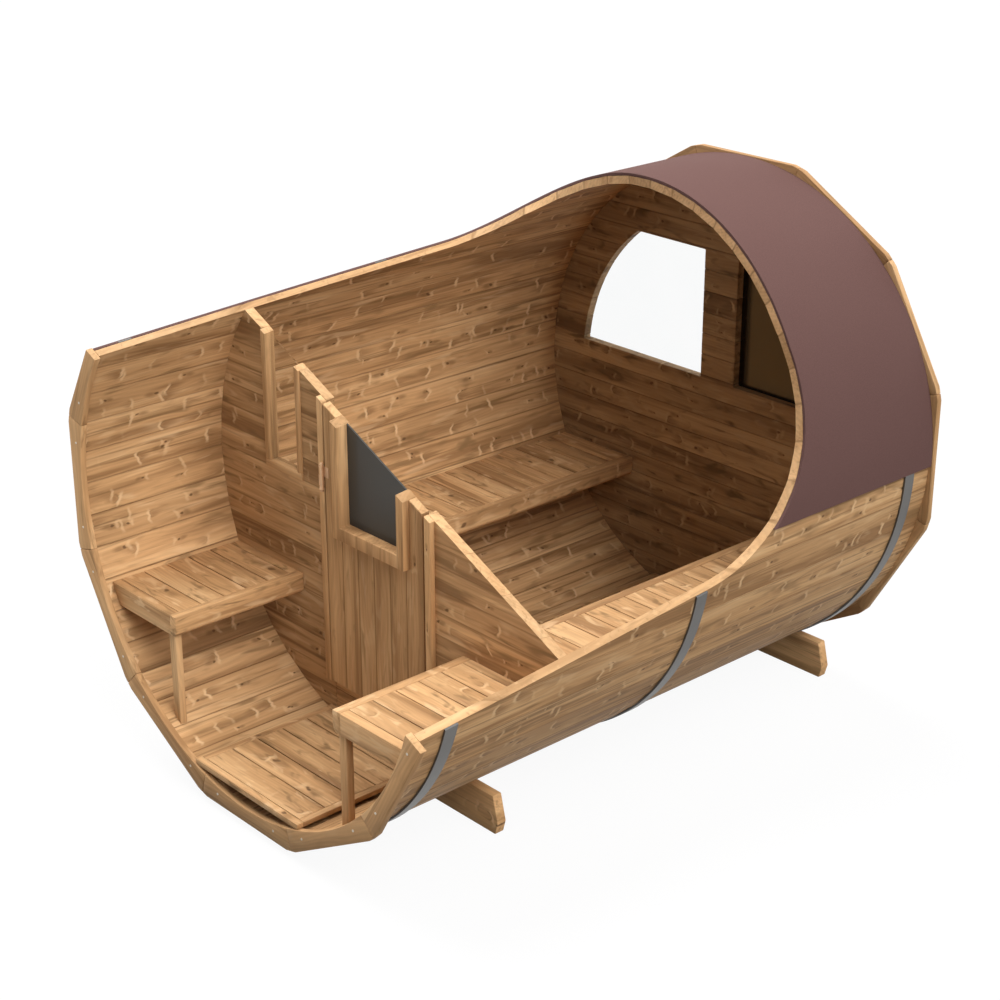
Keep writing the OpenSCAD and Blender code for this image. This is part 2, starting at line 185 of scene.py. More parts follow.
def eyeLayer(desk, along, across, look, cell, offset):
    # long oval of the grain: brown and dark edged towards its ends, a pale smear beyond each end
    shape = eyeShape
    chance, rolls, u = boardCell(desk, along, cell, offset)
    present = desk.math("GREATER_THAN", chance, look["eyeFree"])
    half = desk.times(desk.math("MULTIPLY_ADD", rolls[0], *shape["half"]), look["eyeScale"])
    v = desk.minus(across, desk.times(desk.centred(rolls[1]), look["spread"]))
    tip = desk.times(desk.math("MULTIPLY_ADD", rolls[2], *shape["tip"]), look["eyeScale"])
    side = desk.math("GREATER_THAN", u, 0.0)  # the two ends differ in strength
    luck = desk.math("MULTIPLY_ADD", side, shape["otherEnd"], desk.times(rolls[1], shape["reroll"]))
    strength = desk.times(desk.ramp(desk.math("FRACT", luck), *shape["luck"]), present)
    run = desk.math("ABSOLUTE", u)
    reach = desk.math("DIVIDE", run, half)
    past = desk.math("MAXIMUM", desk.minus(run, half), 0.0)
    gap = desk.minus(desk.hypot(past, v), tip)
    ends = desk.ramp(reach, *shape["ends"])
    under = desk.times(desk.ramp(v, *shape["under"]), desk.ramp(reach, *shape["underReach"]))
    line = desk.times(desk.ramp(desk.math("ABSOLUTE", gap), *shape["lineWidth"]),
                      desk.math("MAXIMUM", ends, desk.times(under, shape["underShare"])))
    shade = desk.times(desk.ramp(gap, *shape["inside"]), desk.ramp(reach, *shape["insideReach"]))
    slant = desk.math("MULTIPLY_ADD", v, desk.math("MULTIPLY_ADD", rolls[2], *shape["slant"]),
                      desk.minus(past, desk.math("ADD", tip, shape["paleGap"])))
    slant = desk.math("MULTIPLY_ADD", desk.times(v, v), shape["paleBend"], slant)
    rise = desk.math("ABSOLUTE", desk.minus(v, shape["paleRise"]))
    pale = desk.times(desk.ramp(desk.math("ABSOLUTE", slant), *shape["paleWidth"]),
                      desk.ramp(rise, *look["flareReach"]))
    pale = desk.times(pale, desk.ramp(reach, *shape["paleReach"]))  # only beyond the oval
    return [desk.times(mask, strength) for mask in (line, shade, pale)]


# length and width in metres; size and tail are a factor and an offset, other pairs are ramps
knotShape = {"size": (0.9, 0.5), "length": 0.0085, "width": 0.0060, "heart": (1.15, 0.45),
             "tail": (0.28, 0.7), "tailWidth": 0.20, "halo": (1.05, 0.15),
             "flickAt": 2.1, "flickBend": 0.10, "flickWidth": (1.3, 0.2), "flickReach": (3.6, 1.2)}


def knotLayer(desk, along, across, look, cell, offset):
    # small knot: dark heart, brown halo and a pale flick on one side
    shape = knotShape
    chance, rolls, u = boardCell(desk, along, cell, offset)
    present = desk.math("GREATER_THAN", chance, look["knotFree"])
    v = desk.minus(across, desk.times(desk.centred(rolls[1]), look["spread"]))
    size = desk.times(desk.math("MULTIPLY_ADD", rolls[0], *shape["size"]), look["knotScale"])
    u = desk.times(u, desk.math("SIGN", desk.centred(rolls[2])))
    a = desk.math("DIVIDE", desk.math("DIVIDE", u, shape["length"]), size)
    b = desk.math("DIVIDE", desk.math("DIVIDE", v, shape["width"]), size)
    bend = desk.times(b, b)
    heart = desk.ramp(desk.hypot(a, b), *shape["heart"])
    run = desk.math("MULTIPLY_ADD", a, *shape["tail"])
    tail = desk.math("ADD", desk.times(run, run), desk.times(bend, shape["tailWidth"]))
    halo = desk.ramp(desk.math("SQRT", tail), *shape["halo"])
    bar = desk.minus(desk.minus(a, shape["flickAt"]), desk.times(bend, shape["flickBend"]))
    pale = desk.times(desk.ramp(desk.math("ABSOLUTE", bar), *shape["flickWidth"]),
                      desk.ramp(desk.math("ABSOLUTE", b), *shape["flickReach"]))
    return [desk.times(mask, present) for mask in (heart, halo, pale)]


def joinLayers(desk, makeLayer, along, across, look, cells):
    layers = [makeLayer(desk, along, across, look, cell, offset) for cell, offset in cells]
    joined = layers[0]
    for more in layers[1:]:
        joined = [desk.math("MAXIMUM", a, b) for a, b in zip(joined, more)]
    return joined


# stretch along, across and through the board, then detail, roughness and distortion
noiseSet = {"broad": ((0.9, 13.0, 13.0), 3.0, 0.55, 0.5), "streaks": ((1.2, 42.0, 42.0), 3.0, 0.6, 0.4),
            "fibre": ((6.0, 190.0, 190.0), 2.0, 0.6, 0.2), "warp": ((1.6, 7.0, 7.0), 2.0, 0.5, 0.4),
            "wave": ((9.0, 32.0, 32.0), 2.0, 0.5, 0.0), "patch": (2.0, 0.55, 0.6)}
# pairs are ramps, or steps in from the board's edge for the seam
grainSet = {"waveAlong": 0.045, "waveAcross": 0.022, "ringWarp": 0.12, "ringBend": 0.010, "ringDepth": 0.6,
            "darkBoard": (0.34, 0.50), "lightBoard": (0.50, 0.68), "streak": (0.47, 0.33),
            "patch": (0.56, 0.74), "palePatch": (0.43, 0.29), "seam": (0.0055, 0.001),
            "ringRelief": 0.4, "fibreRelief": 0.6, "reliefDepth": 0.001, "roughSpread": 0.1, "gloss": 0.15}


def woodMaterial(name, look):
    # reads each board's own coordinates: along, across and through the board
    material, desk = newMaterial(name)
    board = desk.add("ShaderNodeAttribute", attribute_name="grain").outputs["Vector"]
    tone = desk.add("ShaderNodeAttribute", attribute_name="tone").outputs["Fac"]
    parts = desk.add("ShaderNodeSeparateXYZ")
    desk.put(parts.inputs[0], board)

    broad, streaks, fibre, warp, wave = [desk.stretched(board, *noiseSet[kind]) for kind in
                                         ("broad", "streaks", "fibre", "warp", "wave")]
    patch = desk.stretched(board, look["patchScale"], *noiseSet["patch"])
    sway = desk.centred(wave)
    along = desk.math("MULTIPLY_ADD", sway, grainSet["waveAlong"], parts.outputs[0])
    across = desk.math("MULTIPLY_ADD", sway, grainSet["waveAcross"], parts.outputs[1])
    line, shade, eyePale = joinLayers(desk, eyeLayer, along, across, look, look["eyeCells"])
    heart, halo, knotPale = joinLayers(desk, knotLayer, along, across, look, look["knotCells"])

    # growth rings run along the board and bend round the ovals
    ringLine = desk.math("MULTIPLY_ADD", warp, grainSet["ringWarp"], parts.outputs[1])
    ringLine = desk.math("MULTIPLY_ADD", shade, grainSet["ringBend"], ringLine)
    ringLine = desk.math("MULTIPLY_ADD", parts.outputs[2], grainSet["ringDepth"], ringLine)
    rings = desk.math("SINE", desk.times(ringLine, look["ringsPerMetre"] * 2 * math.pi))
    rings = desk.math("MULTIPLY_ADD", rings, 0.5, 0.5)

    colour = desk.mix(desk.ramp(broad, *grainSet["darkBoard"]), look["dark"], look["base"])
    colour = desk.mix(desk.ramp(broad, *grainSet["lightBoard"]), colour, look["light"])
    streak = desk.times(desk.ramp(streaks, *grainSet["streak"]), look["streak"])
    colour = desk.mix(streak, colour, look["knotShade"])
    value = desk.times(desk.spread(fibre, 1.0 - look["fibre"], 1.0 + look["fibre"]),
                       desk.spread(rings, 1.0 - look["rings"], 1.0 + look["rings"]))
    value = desk.times(value, desk.math("MULTIPLY_ADD", tone, look["tone"], 1.0))
    grey = desk.add("ShaderNodeCombineColor")
    for socket in grey.inputs:
        desk.put(socket, value)
    colour = desk.mix(1.0, colour, grey.outputs[0], "MULTIPLY")

    # mask, strength and colour of what lies over the plain grain
    layers = [(desk.ramp(patch, *grainSet["patch"]), "patch", "patchColour"),
              (desk.ramp(patch, *grainSet["palePatch"]), "palePatch", "pale"),
              (shade, "shade", "dark"), (halo, "halo", "knotShade"), (line, "line", "knotShade"),
              (eyePale, "flare", "pale"), (knotPale, "flick", "pale"), (heart, "knot", "knotColour")]
    if look["seam"] > 0:  # the joint to the next board is darker
        edge = [look["halfWidth"] - step for step in grainSet["seam"]]
        layers.append((desk.ramp(desk.math("ABSOLUTE", parts.outputs[1]), *edge), "seam", "knotShade"))
    for mask, strength, over in layers:
        colour = desk.mix(desk.times(mask, look[strength]), colour, look[over])

    relief = desk.math("MULTIPLY_ADD", rings, grainSet["ringRelief"],
                       desk.times(fibre, grainSet["fibreRelief"]))
    rough = [look["rough"] - grainSet["roughSpread"], look["rough"] + grainSet["roughSpread"]]
    shader = desk.add("ShaderNodeBsdfPrincipled")
    desk.put(shader.inputs["Base Color"], colour)
    desk.put(shader.inputs["Roughness"], desk.spread(fibre, *rough))
    desk.put(shader.inputs["Normal"], desk.bump(relief, look["bump"], grainSet["reliefDepth"]))
    shader.inputs["Specular IOR Level"].default_value = grainSet["gloss"]
    finishMaterial(desk, shader)
    return material


def toned(look, share):
    # the same wood, darker or lighter all over; the copies below use it for painted shade and painted
    # light
    shades = {name: rgb(*[share * part for part in look[name][:3]])
              for name in ("base", "light", "dark", "pale", "knotShade", "patchColour")}
    return dict(look, **shades)


pine = {"base": rgb(0.515, 0.295, 0.134), "light": rgb(0.62, 0.38, 0.186),
        "dark": rgb(0.36, 0.195, 0.085), "pale": rgb(0.70, 0.465, 0.255),
        "knotShade": rgb(0.255, 0.135, 0.055), "knotColour": rgb(0.12, 0.06, 0.028),
        "eyeCells": ((0.31, 0.0), (0.43, 37.0)), "eyeFree": 0.28, "eyeScale": 0.8,
        "knotCells": ((0.23, 11.0), (0.35, 71.0)), "knotFree": 0.42, "knotScale": 0.9,
        "spread": 0.082, "ringsPerMetre": 60.0, "fibre": 0.11, "rings": 0.05, "tone": 0.08,
        "patch": 0.50, "patchColour": rgb(0.31, 0.180, 0.078), "palePatch": 0.25,
        "patchScale": (4.0, 21.0, 21.0), "streak": 0.60, "shade": 0.68, "halo": 0.60, "line": 0.88,
        "flare": 0.75, "flareReach": (0.030, 0.008), "flick": 0.5, "knot": 0.85,
        "seam": 0.0, "halfWidth": 0.0, "bump": 0.2, "rough": 0.6}
staveLook = dict(pine, dark=rgb(0.315, 0.168, 0.072), knotShade=rgb(0.205, 0.108, 0.044),
                 patchColour=rgb(0.255, 0.145, 0.063), patch=0.8, palePatch=0.40, shade=0.92, line=0.62,
                 streak=0.74, flare=0.92, flareReach=(0.036, 0.010), seam=0.5, halfWidth=0.0622)
trimLook = dict(pine, eyeFree=1.0, knotFree=0.96, spread=0.03, palePatch=0.15)
boardLook = dict(pine, dark=rgb(0.30, 0.158, 0.068), light=rgb(0.68, 0.42, 0.206),
                 patchColour=rgb(0.25, 0.142, 0.062), eyeFree=0.6, knotFree=0.6, spread=0.05, flare=0.9,
                 patch=0.9, palePatch=0.4, seam=0.5, halfWidth=0.0440)
slatLook = dict(pine, dark=rgb(0.31, 0.165, 0.071), patchColour=rgb(0.25, 0.142, 0.062),
                eyeFree=0.85, eyeScale=0.7, knotFree=0.85, knotScale=1.6, spread=0.05,
                patch=0.95, palePatch=0.6, patchScale=(8.0, 24.0, 24.0), streak=0.35)
# lighter all over than the pine: painted light, standing in for light thrown up from the floor under the
# barrel
cradleLookWithPaintedLight = dict(toned(pine, 1.25), eyeFree=0.85, knotFree=0.8)
# a little darker all over than the pine, with its own grain: painted shade
doorLookWithPaintedShade = dict(toned(pine, 0.92), eyeFree=1.0, knotFree=0.88, spread=0.04, patch=0.8,
                patchScale=(6.0, 24.0, 24.0), streak=0.5, seam=0.6, halfWidth=0.0447)
# darker all over than the pine, with its own grain: painted shade on the left part of the partition
partitionLookWithPaintedShade = dict(toned(pine, 0.85), dark=rgb(0.25, 0.130, 0.055), light=rgb(0.58, 0.355, 0.174),
                     patchColour=rgb(0.20, 0.112, 0.048), eyeFree=0.6, knotFree=0.5, spread=0.05,
                     flare=0.9, patch=0.95, palePatch=0.5, seam=0.5, halfWidth=0.0440)
# a darker, less red copy of the board wood for the back wall's face in the room: painted shade; the faces
# away from the porch keep the plain board wood
backWallPaintedShadeLook = dict(pine, base=rgb(0.350, 0.222, 0.112), light=rgb(0.49, 0.325, 0.172),
                  dark=rgb(0.20, 0.118, 0.057), pale=rgb(0.48, 0.335, 0.19),
                  knotShade=rgb(0.17, 0.098, 0.043), patchColour=rgb(0.14, 0.088, 0.040),
                  eyeFree=0.6, knotFree=0.5, spread=0.05, patch=0.95, palePatch=0.6,
                  patchScale=(6.0, 21.0, 21.0), flare=1.0, streak=0.35, seam=0.25, halfWidth=0.0440)
freshLook = dict(pine, base=rgb(0.60, 0.36, 0.175), light=rgb(0.66, 0.41, 0.21),
                 dark=rgb(0.52, 0.30, 0.14), patchColour=rgb(0.36, 0.200, 0.090),
                 eyeFree=1.0, knotFree=1.0, tone=0.14, streak=0.3, patch=0.7, palePatch=0.3,
                 patchScale=(30.0, 60.0, 30.0), seam=0.5, halfWidth=0.0622)

woods = {
    "stave_wood": woodMaterial("stavePine", staveLook), "trim_wood": woodMaterial("trimPine", trimLook),
    "board_wood": woodMaterial("boardPine", boardLook), "slat_wood": woodMaterial("slatPine", slatLook),
    # the cradles' lighter wood is painted light
    "cradle_wood": woodMaterial("cradlePineWithPaintedLight", cradleLookWithPaintedLight),
}
doorPineWithPaintedShade = woodMaterial("doorPineWithPaintedShade", doorLookWithPaintedShade)
partitionPineWithPaintedShade = woodMaterial("partitionPineWithPaintedShade", partitionLookWithPaintedShade)
# painted shade: the back wall's face in the room is darker than its outer face
backWallPaintedShadePine = woodMaterial("backWallPaintedShadePine", backWallPaintedShadeLook)  # the back wall's face in the room
freshPine = woodMaterial("freshCutPine", freshLook)  # the faces of the cut
print("woods made")


# steel, felt, glass and brass

def objectPlace(desk):
    return desk.add("ShaderNodeTexCoord").outputs["Object"]


steelLook = {"dark": rgb(0.112, 0.107, 0.101), "light": rgb(0.158, 0.152, 0.144), "cloud": (7.0, 3.0),
             "brush": ((30.0, 900.0, 30.0), 2.0), "metal": 0.75, "rough": (0.36, 0.52)}


def steelMaterial(name, look):
    material, desk = newMaterial(name)
    place = objectPlace(desk)
    brushed = desk.stretched(place, *look["brush"])
    shader = desk.add("ShaderNodeBsdfPrincipled")
    desk.put(shader.inputs["Base Color"],
             desk.mix(desk.noise(place, *look["cloud"]), look["dark"], look["light"]))
    shader.inputs["Metallic"].default_value = look["metal"]
    desk.put(shader.inputs["Roughness"], desk.spread(brushed, *look["rough"]))
    finishMaterial(desk, shader)
    return material


feltLook = {"dark": rgb(0.102, 0.052, 0.046), "light": rgb(0.144, 0.076, 0.067),
            "worn": rgb(0.165, 0.094, 0.082), "grit": (650.0, 2.0, 0.7), "gritRamp": (0.35, 0.65),
            "cloud": (3.0, 3.0), "cloudShare": (0.0, 0.18), "bump": (0.35, 0.001),
            "rough": 0.92, "gloss": 0.15}


def feltMaterial(name, look):
    material, desk = newMaterial(name)
    place = objectPlace(desk)
    grit = desk.noise(place, *look["grit"])
    cloud = desk.noise(place, *look["cloud"])
    colour = desk.mix(desk.ramp(grit, *look["gritRamp"]), look["dark"], look["light"])
    colour = desk.mix(desk.spread(cloud, *look["cloudShare"]), colour, look["worn"])
    shader = desk.add("ShaderNodeBsdfPrincipled")
    desk.put(shader.inputs["Base Color"], colour)
    desk.put(shader.inputs["Normal"], desk.bump(grit, *look["bump"]))
    shader.inputs["Roughness"].default_value = look["rough"]
    shader.inputs["Specular IOR Level"].default_value = look["gloss"]
    finishMaterial(desk, shader)
    return material


smearSet = {"noise": (4.0, 3.0), "rough": 0.03}
clearLook = {"tint": rgb(0.93, 0.93, 0.93), "tintEdge": rgb(0.90, 0.91, 0.91),
             "rough": 0.0, "clear": 1.0, "gloss": 0.5, "ior": 1.03}
# the bronze pane's dark border beside and below is a painted shadow of the window's reveal
bronzeLook = {"tint": rgb(0.165, 0.122, 0.058), "tintEdge": rgb(0.145, 0.105, 0.048),
              "paintedShadowEdge": (0.134, 1.110), "paintedShadowSoft": (0.012, 0.006), "paintedShadowColour": rgb(0.012, 0.008, 0.005),
              "rough": 0.12, "clear": 0.0, "gloss": 0.3, "ior": 1.45}
greyLook = {"tint": rgb(0.075, 0.070, 0.060), "tintEdge": rgb(0.065, 0.062, 0.055),
            "rough": 0.2, "clear": 0.0, "gloss": 0.2, "ior": 1.45}


def glassMaterial(name, look):
    material, desk = newMaterial(name)
    place = objectPlace(desk)
    smear = desk.noise(place, *smearSet["noise"])
    colour = desk.mix(desk.spread(smear, 0.0, 1.0), look["tint"], look["tintEdge"])
    # painted shadow: the reveal's shadow on the pane, darkened beside and below
    if "paintedShadowEdge" in look:  # darkened border beside and below
        parts = desk.add("ShaderNodeSeparateXYZ")
        desk.put(parts.inputs[0], place)
        beside, below = [desk.ramp(axis, paintedShadowEdge - soft, paintedShadowEdge + soft) for axis, paintedShadowEdge, soft in
                         zip((parts.outputs[0], parts.outputs[2]), look["paintedShadowEdge"], look["paintedShadowSoft"])]
        colour = desk.mix(desk.times(beside, below), look["paintedShadowColour"], colour)
    shader = desk.add("ShaderNodeBsdfPrincipled")
    desk.put(shader.inputs["Base Color"], colour)
    desk.put(shader.inputs["Roughness"],
             desk.spread(smear, look["rough"], look["rough"] + smearSet["rough"]))
    shader.inputs["IOR"].default_value = look["ior"]
    shader.inputs["Transmission Weight"].default_value = look["clear"]
    shader.inputs["Specular IOR Level"].default_value = look["gloss"]
    finishMaterial(desk, shader)
    return material


brassLook = {"dark": rgb(0.60, 0.36, 0.19), "light": rgb(0.78, 0.52, 0.31), "wear": (60.0, 3.0),
             "metal": 0.15, "rough": (0.35, 0.55)}
zincLook = {"dark": rgb(0.50, 0.43, 0.33), "light": rgb(0.72, 0.65, 0.54), "wear": (400.0, 2.0),
            "metal": 0.2, "rough": (0.3, 0.5)}


def wornMetal(name, look):
    material, desk = newMaterial(name)
    worn = desk.noise(objectPlace(desk), *look["wear"])
    shader = desk.add("ShaderNodeBsdfPrincipled")
    desk.put(shader.inputs["Base Color"], desk.mix(worn, look["dark"], look["light"]))
    shader.inputs["Metallic"].default_value = look["metal"]
    desk.put(shader.inputs["Roughness"], desk.spread(worn, *look["rough"]))
    finishMaterial(desk, shader)
    return material


steel = steelMaterial("bandSteel", steelLook)
screwZinc = wornMetal("screwZinc", zincLook)
brass = wornMetal("hingeBrass", brassLook)
felt = feltMaterial("mineralFelt", feltLook)
clearGlass = glassMaterial("clearPane", clearLook)
bronzeGlass = glassMaterial("bronzePane", bronzeLook)
greyGlass = glassMaterial("greyPane", greyLook)
print("materials made")


# the sweeping cut, with the same values as the solids

cutSet = {"level": 0.264, "fall": 25.9, "turn": 8.8, "rise": 1.8, "sweepStart": 0.194,
          "sweepRadius": 0.523, "lean": 9.3, "reach": 0.002, "facing": 0.9}

cutFrame = (Matrix.Rotation(math.radians(-cutSet["turn"]), 3, "Z")
            @ Matrix.Rotation(math.radians(cutSet["fall"]), 3, "Y")
            @ Matrix.Rotation(math.radians(cutSet["rise"]), 3, "X")).inverted()


def onCut(point, normal):
    local = cutFrame @ (point - Vector((0, 0, axisHeight)))
    facing = cutFrame @ normal
    along, up = local.y - cutSet["sweepStart"], local.z - cutSet["level"]
    radius, lean = cutSet["sweepRadius"], math.radians(cutSet["lean"])
    if along <= 0:
        gap, openSide = up, Vector((0, 1))
    elif up <= radius:
        spoke = Vector((along, up - radius))
        gap, openSide = spoke.length - radius, -spoke.normalized()
    else:
        gap = (along - radius - (up - radius) * math.tan(lean)) * math.cos(lean)
        openSide = Vector((-math.cos(lean), math.sin(lean)))
    agree = Vector((facing.y, facing.z)).dot(openSide)
    return abs(gap) < cutSet["reach"] and agree > cutSet["facing"]


# shaping helpers, with angles in degrees

meshSet = {"weld": 2e-5, "flat": 0.5, "bevelFrom": 35, "smooth": 32, "screwSmooth": 40,
           "outerFacing": 0.5}


def pickOnly(piece):
    bpy.ops.object.select_all(action="DESELECT")
    piece.select_set(True)
    bpy.context.view_layer.objects.active = piece


def joinPieces(pieces):
    bpy.ops.object.select_all(action="DESELECT")
    for piece in pieces:
        piece.select_set(True)
    bpy.context.view_layer.objects.active = pieces[0]
    bpy.ops.object.join()
    return pieces[0]


def copyNode(node, name):
    piece = bpy.data.objects.new(name, nodes[node].data.copy())
    scene.collection.objects.link(piece)
    piece.data.materials.clear()
    pickOnly(piece)
    bpy.ops.mesh.customdata_custom_splitnormals_clear()
    bpy.ops.object.mode_set(mode="EDIT")
    bpy.ops.mesh.select_all(action="SELECT")
    bpy.ops.mesh.remove_doubles(threshold=meshSet["weld"])
    bpy.ops.mesh.dissolve_limited(angle_limit=math.radians(meshSet["flat"]))
    bpy.ops.object.mode_set(mode="OBJECT")
    return piece


def trimBoard(board, axis, low, high):
    pickOnly(board)
    bpy.ops.object.mode_set(mode="EDIT")
    for place, clears in ((low, {"clear_inner": True}), (high, {"clear_outer": True})):
        bpy.ops.mesh.select_all(action="SELECT")
        bpy.ops.mesh.bisect(plane_co=axis * place, plane_no=axis, use_fill=True, **clears)
    bpy.ops.object.mode_set(mode="OBJECT")


def sliceBoards(piece, axis, first, pitch, seam):
    reach = [vertex.co.dot(axis) for vertex in piece.data.vertices]
    index = math.floor((min(reach) - first) / pitch)
    boards = []
    while first + index * pitch < max(reach) - seam:
        board = bpy.data.objects.new(piece.name + "Board", piece.data.copy())
        scene.collection.objects.link(board)
        low = first + index * pitch
        trimBoard(board, axis, low + seam / 2, low + pitch - seam / 2)
        boards.append(board)
        index += 1
    bpy.data.objects.remove(piece)
    return joinPieces(boards)


def softenEdges(piece, width, segments=2):
    pickOnly(piece)
    bpy.ops.object.modifier_add(type="BEVEL")
    bevel = piece.modifiers[-1]
    bevel.width = width
    bevel.segments = segments
    bevel.limit_method = "ANGLE"
    bevel.angle_limit = math.radians(meshSet["bevelFrom"])
    bpy.ops.object.modifier_apply(modifier=bevel.name)


def boardGroups(mesh):
    # the vertices of each board that hangs together
    leader = list(range(len(mesh.vertices)))

    def top(index):
        while leader[index] != index:
            leader[index] = leader[leader[index]]
            index = leader[index]
        return index

    for edge in mesh.edges:
        a, b = edge.vertices
        leader[top(a)] = top(b)
    groups = {}
    for index in range(len(leader)):
        groups.setdefault(top(index), []).append(index)
    return list(groups.values())


def boardAxes(points, centre, grain):
    if grain in ("round", "stave"):
        angle = math.atan2(centre.z - axisHeight, centre.x)
        around = Vector((-math.sin(angle), 0, math.cos(angle)))
        outward = Vector((math.cos(angle), 0, math.sin(angle)))
        lengthwise = Vector((0, 1, 0))
        # a ring plank runs along its own side of the ring
        return (around, outward, lengthwise) if grain == "round" else (lengthwise, around, outward)
    size = [max(p[k] for p in points) - min(p[k] for p in points) for k in range(3)]
    order = sorted(range(3), key=lambda k: -size[k])
    if grain in ("x", "z"):  # or else along the longest side
        first = "xyz".index(grain)
        order = [first] + [k for k in order if k != first]
    return [Vector([1.0 if k == n else 0.0 for k in range(3)]) for n in order]


shiftSet = {"along": 160, "through": 40}  # how far boards lie apart in the grain, in metres


def markBoards(piece, grain, seed):
    # gives each board its own grain coordinates and tone
    mesh = piece.data
    draw = random.Random(seed)
    grainValues = [0.0] * (3 * len(mesh.vertices))
    toneValues = [0.0] * len(mesh.vertices)
    boards = []
    for group in boardGroups(mesh):
        points = [mesh.vertices[i].co for i in group]
        low = Vector([min(p[k] for p in points) for k in range(3)])
        high = Vector([max(p[k] for p in points) for k in range(3)])
        boards.append(((low + high) / 2, points, group))
    boards.sort(key=lambda board: tuple(round(c, 3) for c in board[0]))
    for centre, points, group in boards:
        axes = boardAxes(points, centre, grain)
        shift = (draw.uniform(0, shiftSet["along"]), 0.0, draw.uniform(0, shiftSet["through"]))
        shade = draw.uniform(-1, 1)
        for index in group:
            step = mesh.vertices[index].co - centre
            for k, direction in enumerate(axes):
                grainValues[3 * index + k] = shift[k] + step.dot(direction)
            toneValues[index] = shade
    mesh.attributes.new("grain", "FLOAT_VECTOR", "POINT")
    mesh.attributes.new("tone", "FLOAT", "POINT")
    mesh.attributes["grain"].data.foreach_set("vector", grainValues)
    mesh.attributes["tone"].data.foreach_set("value", toneValues)


def paintWood(piece, wood, outerWood=None):
    piece.data.materials.append(wood)
    piece.data.materials.append(freshPine)
    if outerWood:
        piece.data.materials.append(outerWood)
    for face in piece.data.polygons:
        face.material_index = 1 if onCut(face.center, face.normal) else 0
        if outerWood and face.normal.y > meshSet["outerFacing"]:  # the side away from the porch
            face.material_index = 2


def settle(piece, node, body):
    pickOnly(piece)
    bpy.ops.object.shade_smooth_by_angle(angle=math.radians(meshSet["smooth"]))
    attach(piece, body)
    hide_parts(node)


# staves, rings and cradles

barrelSet = {
    "staves_right": "stavesRight", "staves_top_right": "stavesTopRight", "staves_top": "stavesTop",
    "staves_top_left": "stavesTopLeft", "staves_left": "stavesLeft",
    "staves_bottom_left": "stavesBottomLeft", "staves_bottom": "stavesBottom",
    "staves_bottom_right": "stavesBottomRight",
}
barrelSeed = 100
for seed, (node, name) in enumerate(barrelSet.items(), barrelSeed):
    piece = copyNode(node, name)
    markBoards(piece, "stave", seed)
    paintWood(piece, woods["stave_wood"])
    settle(piece, node, "root")
print("staves dressed")

# name, slot, grain, softened edge and seed
endSet = {
    "front_ring": ("frontRing", "trim_wood", "round", 0.0025, 200),
    "back_ring": ("backRing", "trim_wood", "round", 0.0025, 201),
    "cradle_front": ("cradleFront", "cradle_wood", "x", 0.003, 220),
    "cradle_back": ("cradleBack", "cradle_wood", "x", 0.003, 221),
}
for node, (name, slot, grain, soften, seed) in endSet.items():
    piece = copyNode(node, name)
    softenEdges(piece, soften)
    markBoards(piece, grain, seed)
    paintWood(piece, woods[slot])
    settle(piece, node, "root")
print("rings and cradles dressed")


# walls and door of boards

lying = {"axis": (0, 0, 1), "first": 1.02, "pitch": 0.088, "grain": "x", "body": "root"}
wallSet = {
    # the back wall's face in the room wears painted shade, its outer faces the plain board wood
    "back_wall": dict(lying, name="backWall", wood=backWallPaintedShadePine, outerWood=woods["board_wood"]),
    # the partition's left part wears the darker wood, painted shade
    "partition_left": dict(lying, name="partitionLeft", wood=partitionPineWithPaintedShade),
    "partition_right": dict(lying, name="partitionRight"),
    "partition_sill": dict(lying, name="partitionSill"),
    # the door leaf's darker wood is painted shade
    "door_leaf": {"name": "doorLeaf", "axis": (1, 0, 0), "first": -0.270, "pitch": 0.0895,
                  "grain": "z", "body": "door", "wood": doorPineWithPaintedShade},
}
wallSeam = {"gap": 0.0006, "soften": 0.0022, "segments": 1}
wallSeed = 300
for seed, (node, look) in enumerate(wallSet.items(), wallSeed):
    piece = copyNode(node, look["name"] + "Whole")
    piece = sliceBoards(piece, Vector(look["axis"]), look["first"], look["pitch"], wallSeam["gap"])
    piece.name = look["name"]
    softenEdges(piece, wallSeam["soften"], wallSeam["segments"])
    markBoards(piece, look["grain"], seed)
    paintWood(piece, look.get("wood", woods["board_wood"]), look.get("outerWood"))
    settle(piece, node, look["body"])
print("walls and door boarded")

# name, body and grain
trimSet = {
    "casing_left": ("casingLeft", "root", "z"), "casing_right": ("casingRight", "root", "z"),
    "window_frame": ("windowFrame", "root", "long"), "door_light_frame": ("doorLightFrame", "door", "z"),
    "porch_leg_left": ("porchLegLeft", "root", "z"), "porch_leg_right": ("porchLegRight", "root", "z"),
}
sillSet = {"top": 1.045, "reach": 1.2}
trimSoften = 0.002
trimSeed = 400
for seed, (node, (name, body, grain)) in enumerate(trimSet.items(), trimSeed):
    piece = copyNode(node, name)
    if node == "window_frame":  # its posts stand on its sill
        piece = sliceBoards(piece, Vector((0, 0, 1)), sillSet["top"], sillSet["reach"], wallSeam["gap"])
        piece.name = name
    softenEdges(piece, trimSoften)
    markBoards(piece, grain, seed)
    paintWood(piece, woods["trim_wood"])
    settle(piece, node, body)
print("trim dressed")


# benches and floors

slatSet = {
    "porch_bench_left": "porchBenchLeft", "porch_bench_right": "porchBenchRight",
    "room_bench_left": "roomBenchLeft", "room_bench_right": "roomBenchRight",
    "porch_floor": "porchFloor", "room_floor": "roomFloor",
}
slatSoften = 0.0025
slatSeed = 500
for seed, (node, name) in enumerate(slatSet.items(), slatSeed):
    piece = copyNode(node, name)
    softenEdges(piece, slatSoften)
    markBoards(piece, "long", seed)
    paintWood(piece, woods["slat_wood"])
    settle(piece, node, "root")
print("benches and floors dressed")


# screws in the end rings, two at each corner; insets are shares of the radius, depths of the height

